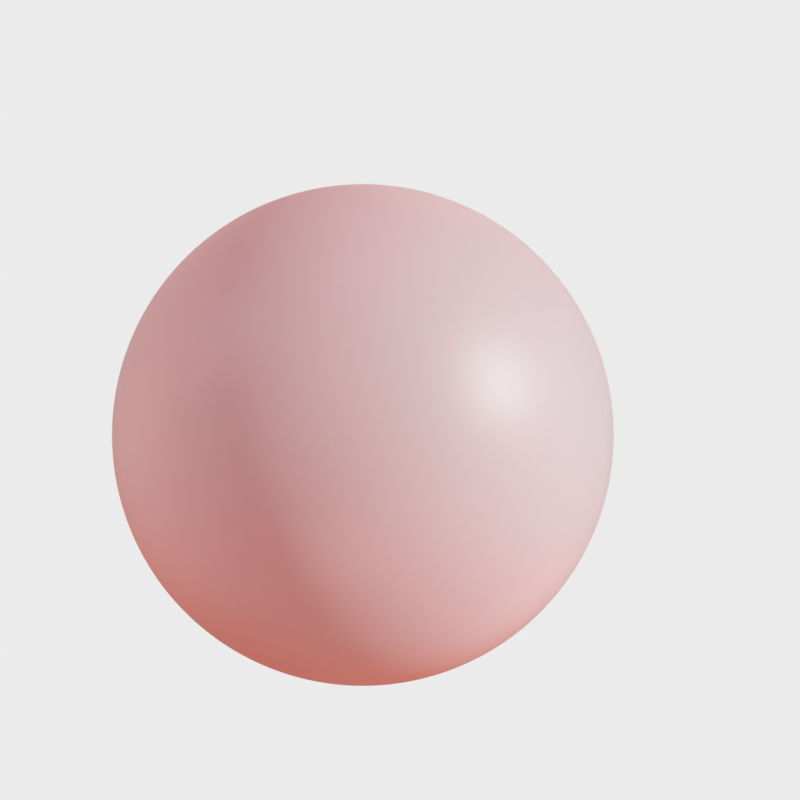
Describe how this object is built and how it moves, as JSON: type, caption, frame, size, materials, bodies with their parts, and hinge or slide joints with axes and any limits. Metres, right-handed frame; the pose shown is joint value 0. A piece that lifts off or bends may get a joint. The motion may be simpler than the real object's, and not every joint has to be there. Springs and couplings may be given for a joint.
{
  "type": "latex balloon",
  "caption": "Round inflated latex party balloon, closed by an overhand knot in its own neck, with a soft tail that ends in a rolled lip.",
  "frame": {"origin": "the middle of the groove in the gathered neck, between the round body and the knot, where a ribbon or thread is tied", "axes": "+Z along the balloon's axis from the knot to the crown, front is -Y, +X to the right"},
  "size_m": [0.28, 0.28, 0.3528],
  "materials": {
    "skin": "satin",
    "neck": "satin",
    "knot": "satin"
  },
  "bodies": {
    "balloon": {"envelope": "skin", "neck_gather": "neck"},
    "stem": {"neck_stem": "neck"},
    "knot": {"knot_core": "knot", "knot_wrap": "knot", "knot_crossover": "knot"},
    "tail": {"tail_throat": "neck"},
    "mouth": {"tail_skirt": "neck", "rolled_lip": "neck"}
  },
  "joints": [
    {"name": "neck_twist", "type": "hinge", "parent": "balloon", "child": "stem", "pos_m": [0, 0, -0.002], "axis": [0, 0, 1], "range_deg": [-180, 180], "stiffness_Nm_per_rad": 0.0001},
    {"name": "knot_lean", "type": "hinge", "parent": "stem", "child": "knot", "pos_m": [0, 0, -0.0054], "axis": [1, 0, 0], "range_deg": [-35, 35], "stiffness_Nm_per_rad": 0.001},
    {"name": "tail_bend", "type": "hinge", "parent": "knot", "child": "tail", "pos_m": [0, 0, -0.016], "axis": [1, 0, 0], "range_deg": [-55, 55], "stiffness_Nm_per_rad": 0.0005},
    {"name": "mouth_sway", "type": "hinge", "parent": "tail", "child": "mouth", "pos_m": [0, 0, -0.0212], "axis": [0, 1, 0], "range_deg": [-45, 45], "stiffness_Nm_per_rad": 0.0005}
  ]
}
